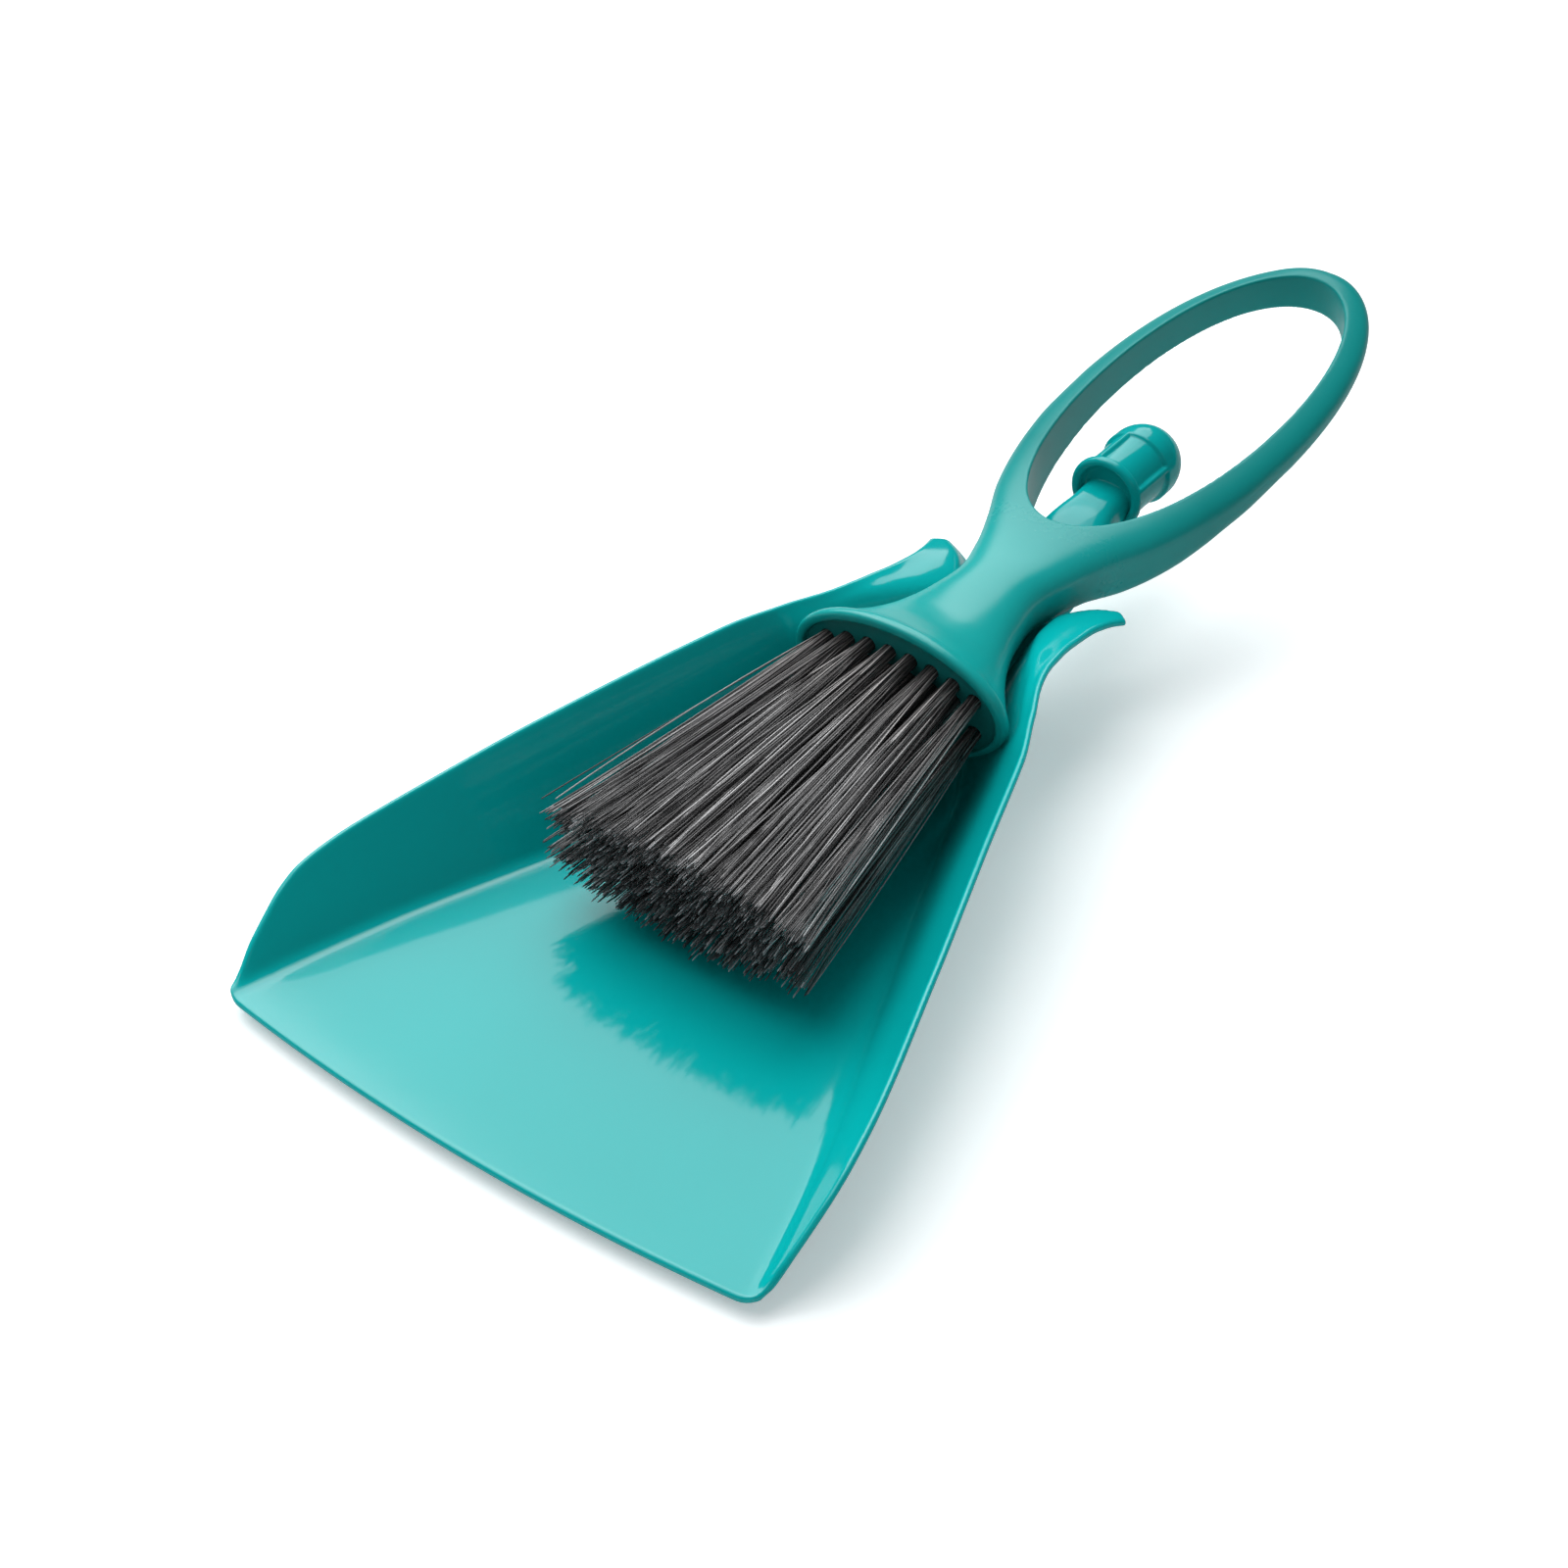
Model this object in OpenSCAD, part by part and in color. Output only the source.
// Small dustpan with a hand brush that nests in it.
// Frame: X across the mouth, +Y from the mouth towards the handles, +Z up.
// Origin: middle of the chord between the lip corners, on the underside.

/* [Dustpan] */
// Width of the mouth between the lip corners
mouth_w = 160; // [160:1:166]
// How far the lip bows forward at its middle
lip_bow = 5.2; // [3:0.1:7]
// Thickness of the moulded floor
floor_t = 2; // [1.8:0.1:2.4]
// Thickness of the side walls
wall_t = 1.8; // [1.5:0.1:2.2]
// Lean of the side walls from upright, in degrees
wall_lean = 30; // [29.5:0.5:32]
// Fillet between floor and wall
fillet_r = 5; // [4:0.5:6]

/* [Knob] */
// Diameter of the knob on the pan's neck
knob_d = 21.4; // [20:0.1:22]
// Height of the knob's axis
knob_z = 36.2; // [36:0.1:37]
// Distance from the origin to the knob's collar face
knob_y = 256.6; // [255:0.1:258]
// Length of the knob's straight part
knob_len = 19.5; // [17:0.5:21]
// Depth of the four panels in the knob
panel_depth = 1.2; // [0.6:0.1:1.6]

/* [Brush] */
// Distance from the origin to the middle of the skirt's rim
rim_y = 161; // [161:0.5:161.5]
// Height of the middle of the skirt's rim
rim_z = 30; // [30:0.5:32]
// Tilt of the brush, bristles down, in degrees
tilt = 4; // [3.5:0.1:4.5]
// Width of the skirt at its rim
skirt_w = 64.6; // [64.2:0.2:64.8]
// Thickness of the skirt at its rim
skirt_t = 38.6; // [38.2:0.2:39]
// Length of the brush body, rim to loop end
body_len = 219.4; // [217.6:0.2:220]
// Outer width of the loop
loop_w = 68.5; // [66:0.5:69]
// Length of the hand opening
hole_len = 140; // [138:1:142]
// Width of the hand opening
hole_w = 54; // [52:0.5:55]

/* [Bristles] */
// Free length of the tufts
tuft_len = 92; // [80:1:94]
// Radius of a drilled tuft hole
hole_r = 2.1; // [1.9:0.05:2.2]
// Gap between a tuft and its hole
tuft_gap = 0.08; // [0.05:0.01:0.12]
// Tuft radius at the tip
tip_r = 2.7; // [2.3:0.05:2.7]
// Spread of the tips across the brush
fan_x = 1.55; // [1.5:0.01:1.6]
// Spread of the tips through the brush's thickness
fan_n = 1.12; // [1.12:0.01:1.2]

/* [Hidden] */
turquoise = [0.16, 0.66, 0.64];
block_green = [0.10, 0.50, 0.48];
bristle_grey = [0.24, 0.24, 0.25];
wire_grey = [0.72, 0.72, 0.74];
fit_gap = 0.05; // around the bristle block and the anchors

// ---- smooth curve through a table of [position, value], flat where the trend turns
function chord(table, i) =
    (table[i+1][1] - table[i][1]) / (table[i+1][0] - table[i][0]);
function slope(table, i) =
    i == 0 ? chord(table, 0) :
    i == len(table) - 1 ? chord(table, i - 1) :
    let (before = chord(table, i - 1), after = chord(table, i))
    before * after <= 0 ? 0 : 2 * before * after / (before + after);
function interval(table, at) =
    max([for (k = [0:len(table) - 2]) if (k == 0 || table[k][0] <= at) k]);
// cubic Hermite between the knots, held constant beyond the ends
function curve(table, at) =
    let (last = len(table) - 1)
    at <= table[0][0] ? table[0][1] :
    at >= table[last][0] ? table[last][1] :
    let (i = interval(table, at),
         step = table[i+1][0] - table[i][0],
         t = (at - table[i][0]) / step)
    (2*pow(t, 3) - 3*t*t + 1) * table[i][1]
    + (pow(t, 3) - 2*t*t + t) * slope(table, i) * step
    + (3*t*t - 2*pow(t, 3)) * table[i+1][1]
    + (pow(t, 3) - t*t) * slope(table, i + 1) * step;

// ---- rings and the solids through them
// point of a superellipse; power 2 is an ellipse, higher is squarer
function oval_point(half_a, half_b, power, angle) = [
    half_a * sign(cos(angle)) * pow(abs(cos(angle)), 2/power),
    half_b * sign(sin(angle)) * pow(abs(sin(angle)), 2/power)];
function ellipse_ring(half_x, y, half_z) =
    [for (i = [0:47]) let (a = -i * 7.5) [half_x * cos(a), y, half_z * sin(a)]];
function centre(ring) = [for (p = ring) 1] * ring / len(ring);
function flip(faces) = [for (f = faces) [f[0], f[2], f[1]]];
// triangles between successive rings of n points
function side_faces(n, ring_count) =
    [for (j = [0:ring_count-2]) for (i = [0:n-1])
        let (a = j*n + i, b = j*n + (i+1) % n)
        each [[a, b + n, b], [a, a + n, b + n]]];

// closed solid through rings of equal count, capped with flat fans
module loft(rings) {
    n = len(rings[0]);
    m = len(rings);
    polyhedron(
        points = concat([for (r = rings) each r], [centre(rings[0]), centre(rings[m-1])]),
        faces = concat(
            side_faces(n, m),
            [for (i = [0:n-1]) [m*n, i, (i+1) % n]],
            [for (i = [0:n-1]) [m*n + 1, (m-1)*n + (i+1) % n, (m-1)*n + i]]));
}

// ---- dustpan shell; tables are [y, value]
mouth_x = mouth_w / 2;
// half-width of the floor where the wall planes cross it
floor_x = [[-8, mouth_x - 1.8], [0, mouth_x - 3.2], [40, mouth_x - 14],
    [80, mouth_x - 29.2], [120, mouth_x - 45.1], [160, mouth_x - 60.4],
    [180, mouth_x - 70.4], [200, mouth_x - 79], [220, mouth_x - 76]];
// rise of the channel's bottom above the floor
bed_rise = [[-8, 0], [168, 0], [184, 2.2], [200, 9.5], [212, 14.6], [220, 17.2]];
// height of the underside, which leaves a thick root where the neck starts
underside_z = [[-8, 0], [172, 0], [184, 0.6], [200, 3.6], [212, 7.4], [220, 9.6]];
// height of the wall's top edge
edge_z = [[-8, 2.3], [-4, 2.9], [0, 4.4], [6, 8], [14, 12.8], [22, 17.4], [29, 20.3],
    [40, 22.8], [55, 25.2], [95, 31.1], [135, 35.4], [170, 37.3], [180, 37.2],
    [190, 36.2], [200, 34.4], [208, 32.8], [214, 31.4], [220, 29.8]];
// flared wings behind the walls: half-width at the outer edge, then the bend
wing_edge_x = [[166, 35], [178, 31], [188, 28.6], [198, 27.4], [206, 27.2],
    [213, 28.1], [220, 30]];
wing_bend_x = [[166, 31.6], [180, 25.6], [188, 21.6], [196, 18], [203, 15.8],
    [208, 15.6], [213, 18.6], [220, 28]];
wing_bend_z = [[166, 31.5], [180, 32.6], [188, 32.6], [196, 31.6], [204, 30.6],
    [212, 30.2], [220, 29.7]];
wing_start = 150;
wing_full = 190;
root_start = 168; // the root thickens the underside behind this
root_x = 7; // half-width of the root before it curves up
// shape of the rear edge in plan, [x, y shift], bowed between neck and wing tips
rear_bow = [[0, 0], [10, 0.8], [18, 3.6], [22, 4.3], [26, 3.4], [30.6, 0.2]];
rear_start = 200;
rear_len = 20;
// lip in plan: how far back its bow and its rounded corners fade out
bow_fade = 60;
corner_fade = 14;
corner_r = 8.2;
corner_w = 6.5;

wall_slope = tan(90 - wall_lean);
fillet_run = fillet_r * tan((90 - wall_lean) / 2);
fillet_top = fillet_r * (1 - sin(wall_lean));
fillet_turn = 77.4;
// steps in a half section: floor, fillet, wall, and bend to top edge
floor_n = 5;
fillet_n = 5;
wall_n = 5;
edge_n = 3;

// x of the inner fillet and straight wall at height z above the bed
function wall_x(y, z) =
    let (w = curve(floor_x, y))
    z < fillet_top
        ? w - fillet_run + sqrt(max(0, fillet_r*fillet_r - pow(fillet_r - z, 2)))
        : w + z / wall_slope;
// wing share: 0 on the straight walls, 1 on the wings
function wing(y) =
    let (t = min(1, max(0, (y - wing_start) / (wing_full - wing_start))))
    t * t * (3 - 2 * t);
function blend(a, b, share) = (1 - share) * a + share * b;

// inner half section at station y from the middle outwards, [x, z]
function half_section(y) =
    let (bed = floor_t + curve(bed_rise, y),
         share = wing(y),
         // heights above the bed: top edge, bend, end of the fillet
         top_h = curve(edge_z, y) - bed,
         bend_h = blend(top_h * 0.8, curve(wing_bend_z, y) - bed, share),
         fillet_h = min(fillet_top, bend_h * 0.45),
         top_x = blend(wall_x(y, top_h), curve(wing_edge_x, y), share),
         bend_x = blend(wall_x(y, top_h * 0.8), curve(wing_bend_x, y), share),
         flat_share = 0.35 + 0.27 * min(1, max(0, (y - 198) / 20)),
         flat_x = max(curve(floor_x, y) - fillet_run, flat_share * bend_x),
         fillet_x = max(wall_x(y, fillet_h), flat_x + 0.6 * min(fillet_h, 3)))
    concat(
        [for (i = [0:floor_n-1]) [flat_x * i / floor_n, bed]],
        [for (i = [0:fillet_n-1]) let (a = fillet_turn * i / fillet_n)
            [flat_x + (fillet_x - flat_x) * sin(a) / sin(fillet_turn),
             bed + fillet_h * (1 - cos(a)) / (1 - cos(fillet_turn))]],
        [for (i = [0:wall_n-1]) let (t = i / wall_n)
            [fillet_x + (bend_x - fillet_x) * t,
             bed + fillet_h + (bend_h - fillet_h) * t]],
        [for (i = [0:edge_n]) let (t = i / edge_n)
            [bend_x + (top_x - bend_x) * t,
             bed + bend_h
                + (top_h - bend_h) * (t + 0.35 * share * sin(t * 180) * (1 - t))]]);

function direction(from, to) =
    let (d = to - from, l = norm(d)) l < 1e-6 ? [1, 0] : d / l;
// thickness at a point of the half section, floor to wall over the fillet
function thickness(i) =
    i < floor_n ? floor_t
        : wall_t + (floor_t - wall_t) * max(0, 1 - (i - floor_n) / fillet_n);
// outer face: the inner face moved out by the thickness, kept above z = 0
function outer_section(inner, y) =
    [for (i = [0:len(inner)-1])
        let (d = direction(inner[max(0, i-1)], inner[min(len(inner)-1, i+1)]),
             t = thickness(i),
             p = i == 0 ? [0, inner[0][1] - floor_t]
                 : [inner[i][0] + d[1] * t, max(inner[i][1] - d[0] * t, 0)],
             root = curve(underside_z, y) + 3 * pow(max(0, abs(p[0]) - root_x) / 2.6, 2))
        y > root_start ? [p[0], min(p[1], root)] : p];

// shift towards +Y that shapes the lip's bow, its corners and the rear edge
function plan_shift(y, x) =
    let (behind = y + lip_bow,
         bow = pow(max(0, 1 - behind / bow_fade), 2),
         corner = pow(max(0, 1 - behind / corner_fade), 1.5),
         into = min(max(0, abs(x) - (mouth_x - corner_w)), 7.9),
         rear = max(0, (y - rear_start) / rear_len))
    lip_bow * bow * pow(x / mouth_x, 2)
    + corner * (corner_r - sqrt(corner_r*corner_r - into*into))
    + rear * curve(rear_bow, abs(x));

pan_stations = concat(
    [for (d = [0, 0.8, 2.4, 5, 8, 12, 16, 21, 26, 31, 36, 43, 53]) d - lip_bow],
    [for (y = [62:16:158]) y],
    [166, 172, 178, 184, 190, 196, 202, 208, 214, 220]);

// inner face from +X to -X, then outer face back to +X
function pan_ring(y) =
    let (inner = half_section(y), outer = outer_section(inner, y), n = len(inner))
    [for (p = concat(
            [for (i = [n-1:-1:0]) inner[i]],
            [for (i = [1:n-1]) [-inner[i][0], inner[i][1]]],
            [for (i = [n-1:-1:1]) [-outer[i][0], outer[i][1]]],
            outer))
        [p[0], y + plan_shift(y, p[0]), p[1]]];

module pan_shell() {
    rings = [for (y = pan_stations) pan_ring(y)];
    n = len(rings[0]);
    m = len(rings);
    last = (m - 1) * n;
    // strip between the inner and outer faces, for the lip and the rear edge
    strip = [for (i = [0:n/2-2]) each [[i, n-2-i, i+1], [i, n-1-i, n-2-i]]];
    polyhedron(
        points = [for (r = rings) each r],
        faces = concat(
            flip(side_faces(n, m)),
            strip,
            [for (f = flip(strip)) f + [last, last, last]]));
}

// ---- neck from the pan to the knob, a swan's neck; tables are [y, value]
neck_top = [[212, 14.4], [218, 18.4], [224, 23], [234, 31], [240, 35], [246, 37.4],
    [252, 38.6], [259, 39.2]];
neck_bottom = [[212, 9.6], [218, 11.4], [224, 14], [234, 19.6], [246, 25.2], [259, 28]];
neck_x = [[212, 5.5], [218, 6.9], [224, 9.2], [229, 10.3], [234, 10.6], [240, 10],
    [246, 8.6], [252, 7.3], [259, 7]];
neck_stations = [212, 215, 218, 221, 224, 227, 230, 234, 237, 240, 243, 246, 250, 254, 259];

function neck_ring(y) =
    let (top = curve(neck_top, y), bottom = curve(neck_bottom, y), half_x = curve(neck_x, y))
    [for (i = [0:19]) let (p = oval_point(half_x, (top - bottom) / 2, 3, -i * 18))
        [p[0], y, (top + bottom) / 2 + p[1]]];
module pan_neck() loft([for (y = neck_stations) neck_ring(y)]);

// room around the neck, for the groove under the brush
room_above = 1;
room_beside = 1.2;
room_arch = 6; // height of the rounded top
function room_ring(y) =
    let (top = curve(neck_top, y) + room_above, half_x = curve(neck_x, y) + room_beside)
    concat(
        [[half_x, y, 0], [-half_x, y, 0]],
        [for (i = [0:12]) let (p = oval_point(half_x, room_arch, 3.4, 180 - i * 15))
            [p[0], y, top - room_arch + p[1]]]);
module neck_room() loft([for (y = [209, 214, 219, 224, 229, 234, 238, 242]) room_ring(y)]);

// ---- knob: collar, four recessed panels and a domed end, on the Y axis
knob_r = knob_d / 2;
panel_start = 2.6; // from the collar face
panel_margins = 5.8; // both ends together
panel_from = 74;
panel_turn = 82;
module knob()
    translate([0, knob_y, knob_z]) rotate([-90, 0, 0]) difference() {
        union() {
            cylinder(h = knob_len, r = knob_r, $fn = 64);
            translate([0, 0, knob_len]) sphere(r = knob_r, $fn = 64);
        }
        for (a = [0:90:270]) rotate([0, 0, a + panel_from])
            rotate_extrude(angle = panel_turn, $fn = 64)
            translate([knob_r - panel_depth, panel_start])
            square([panel_depth + 1, knob_len - panel_margins]);
    }

module dustpan() color(turquoise) union() {
    pan_shell();
    pan_neck();
    knob();
}

// ---- brush, in its own frame: rim at y = 0, y along the body, z through its thickness
module brush_frame() translate([0, rim_y, rim_z]) rotate([tilt, 0, 0]) children();
skirt_x = skirt_w / 2;
skirt_z = skirt_t / 2;
loop_x = loop_w / 2;
loop_start = 138; // the loop's rounded end starts here
end_len = 8; // the thickness rounds off over this length
// half-width of the body, [y, x]
body_x = [[0, skirt_x - 0.6], [1.2, skirt_x], [2.6, skirt_x - 0.3], [5, skirt_x - 2.4],
    [9, skirt_x - 5.6], [15, skirt_x - 9.8], [23, skirt_x - 14.1], [33, skirt_x - 17.6],
    [45, skirt_x - 19.6], [57, skirt_x - 17.1], [69, skirt_x - 12.7], [82, loop_x - 8.9],
    [94, loop_x - 5.2], [106, loop_x - 2.6], [119, loop_x - 0.8], [loop_start, loop_x]];
// extent above and below the middle plane, [y, z]
body_top = [[0, skirt_z - 0.5], [1.2, skirt_z], [2.6, skirt_z - 0.3], [5, skirt_z - 2.1],
    [9, skirt_z - 4.4], [15, skirt_z - 7.2], [23, skirt_z - 9.5], [33, skirt_z - 10.8],
    [45, skirt_z - 11.5], [57, skirt_z - 11.9], [84, 7.7], [112, 7.5], [139, 7.2],
    [180, 6.4], [220, 4.6]];
body_bottom = [[0, skirt_z - 0.5], [1.2, skirt_z], [2.6, skirt_z - 0.3], [5, skirt_z - 2],
    [9, skirt_z - 3.6], [15, skirt_z - 5.4], [23, skirt_z - 6.6], [33, skirt_z - 7],
    [45, skirt_z - 6.6], [57, skirt_z - 5.8], [69, skirt_z - 5.6], [84, 13.4],
    [100, 12.2], [120, 10.8], [139, 9.4], [220, 5.8]];
// superellipse power of the upper and lower halves, [y, power]
top_power = [[0, 2], [23, 2.1], [57, 2.3], [84, 2.35], [120, 2.4], [220, 2.5]];
bottom_power = [[0, 1.8], [9, 1.84], [23, 2.1], [45, 2.3], [64, 2.7], [76, 4.2],
    [90, 4.4], [112, 3.4], [139, 3], [220, 2.9]];
body_stations = concat(
    [0, 1.2, 2.6, 5, 7, 9, 12, 15, 19, 23, 28, 33, 39],
    [for (y = [45:6:105]) y],
    [for (y = [112:8:176]) y],
    [for (d = [37, 31, 25, 20, 15.5, 11.5, 8.5, 6.2]) body_len - d],
    [for (t = [0.5, 0.72, 0.86, 0.95, 0.99]) body_len - end_len + end_len * t]);

// share of the full size left at t, from 1 at t = 0 to 0 at t = 1
function round_off(t, power) = t <= 0 ? 1 : pow(max(0, 1 - pow(t, power)), 1/power);
function body_ring(y) =
    let (half_x = curve(body_x, y)
            * round_off((y - loop_start) / (body_len - loop_start), 2.08),
         end = round_off((y - (body_len - end_len)) / end_len, 2.6))
    [for (i = [0:35])
        let (a = -i * 10,
             p = sin(a) >= 0
                 ? oval_point(half_x, curve(body_top, y) * end, curve(top_power, y), a)
                 : oval_point(half_x, curve(body_bottom, y) * end, curve(bottom_power, y), a))
        [p[0], y, p[1]]];

// hand opening, an oval prism through the loop
hole_end = 210.6;
module hand_hole()
    translate([0, hole_end - hole_len / 2, -30]) linear_extrude(60)
    polygon([for (i = [0:71]) oval_point(hole_w/2, hole_len/2, 2.06, i * 5)]);

// bristle block and its pocket, grown by g
block_face = 1.5;
function plug(g) = [
    ellipse_ring(skirt_x - 3 + g, block_face, skirt_z - 3.1 + g),
    ellipse_ring(skirt_x - 4.2 + g, 4, skirt_z - 3.9 + g),
    ellipse_ring(skirt_x - 7.1 + g, 8.4 + g, skirt_z - 5.8 + g)];
// opening of the skirt in front of the block, [y, inset]
module skirt_opening()
    loft([for (k = [[-2, 0], [0, 0], [1.55, 0.35]])
        ellipse_ring(skirt_x - 2.6 - k[1], k[0], skirt_z - 2.7 - k[1])]);

module brush_handle() color(turquoise) difference() {
    brush_frame() loft([for (y = body_stations) body_ring(y)]);
    brush_frame() hand_hole();
    brush_frame() skirt_opening();
    brush_frame() loft(plug(fit_gap));
    neck_room();
}

// ---- tufts: four curved rows, each tuft a bundle set square into its hole
// [tuft count, half-span, share of the row height]
tuft_rows = [[8, 22.4, 1], [6, 16.2, 1/3], [6, 16.2, -1/3], [8, 22.4, -1]];
row_z = 9.3;
row_x = 27; // half-width of the ellipse the rows follow
// [x, z] of each tuft on the block's face
tufts = [for (row = tuft_rows) for (i = [0:row[0]-1])
    let (x = -row[1] + 2 * row[1] * i / (row[0] - 1))
    [x, row[2] * row_z * sqrt(1 - pow(x / row_x, 2))]];
hole_deep = 5.3;
anchor_size = [0.4, 3.6, 1.2];
anchor_lift = 0.5; // above the hole's bottom

// a tuft's own frame: zero on the block's face, +Z out along the tuft
module at_tuft(p) {
    d = [p[0] * (fan_x - 1), -tuft_len, p[1] * (fan_n - 1)];
    brush_frame() translate([p[0], block_face, p[1]])
        rotate([0, acos(d[2] / norm(d)), atan2(d[1], d[0])]) children();
}

module bristle_block() color(block_green) difference() {
    brush_frame() loft(plug(0));
    for (p = tufts) at_tuft(p) translate([0, 0, -hole_deep])
        cylinder(h = hole_deep + 2, r = hole_r, $fn = 32);
}

// flat wire that pins a folded tuft at the bottom of its hole, grown by g
module anchor(g)
    translate([-anchor_size[0]/2 - g, -anchor_size[1]/2 - g, anchor_lift - hole_deep - g])
    cube(anchor_size + 2 * [g, g, g]);
module tuft_anchors() color(wire_grey) for (p = tufts) at_tuft(p) anchor(0);

// a folded bundle, numbered from 1: straight in its hole, then flaring to the tip
module tuft(number) color(bristle_grey) at_tuft(tufts[number - 1]) difference() {
    root_r = hole_r - tuft_gap;
    root_end = 0.1 - hole_deep;
    rotate_extrude($fn = 32) polygon([[0, root_end], [root_r, root_end], [root_r, 0.5],
        [tip_r, tuft_len], [0, tuft_len]]);
    anchor(fit_gap);
}

dustpan();
brush_handle();
bristle_block();
tuft_anchors();
tuft(1);  // tuft_01
tuft(2);  // tuft_02
tuft(3);  // tuft_03
tuft(4);  // tuft_04
tuft(5);  // tuft_05
tuft(6);  // tuft_06
tuft(7);  // tuft_07
tuft(8);  // tuft_08
tuft(9);  // tuft_09
tuft(10);  // tuft_10
tuft(11);  // tuft_11
tuft(12);  // tuft_12
tuft(13);  // tuft_13
tuft(14);  // tuft_14
tuft(15);  // tuft_15
tuft(16);  // tuft_16
tuft(17);  // tuft_17
tuft(18);  // tuft_18
tuft(19);  // tuft_19
tuft(20);  // tuft_20
tuft(21);  // tuft_21
tuft(22);  // tuft_22
tuft(23);  // tuft_23
tuft(24);  // tuft_24
tuft(25);  // tuft_25
tuft(26);  // tuft_26
tuft(27);  // tuft_27
tuft(28);  // tuft_28
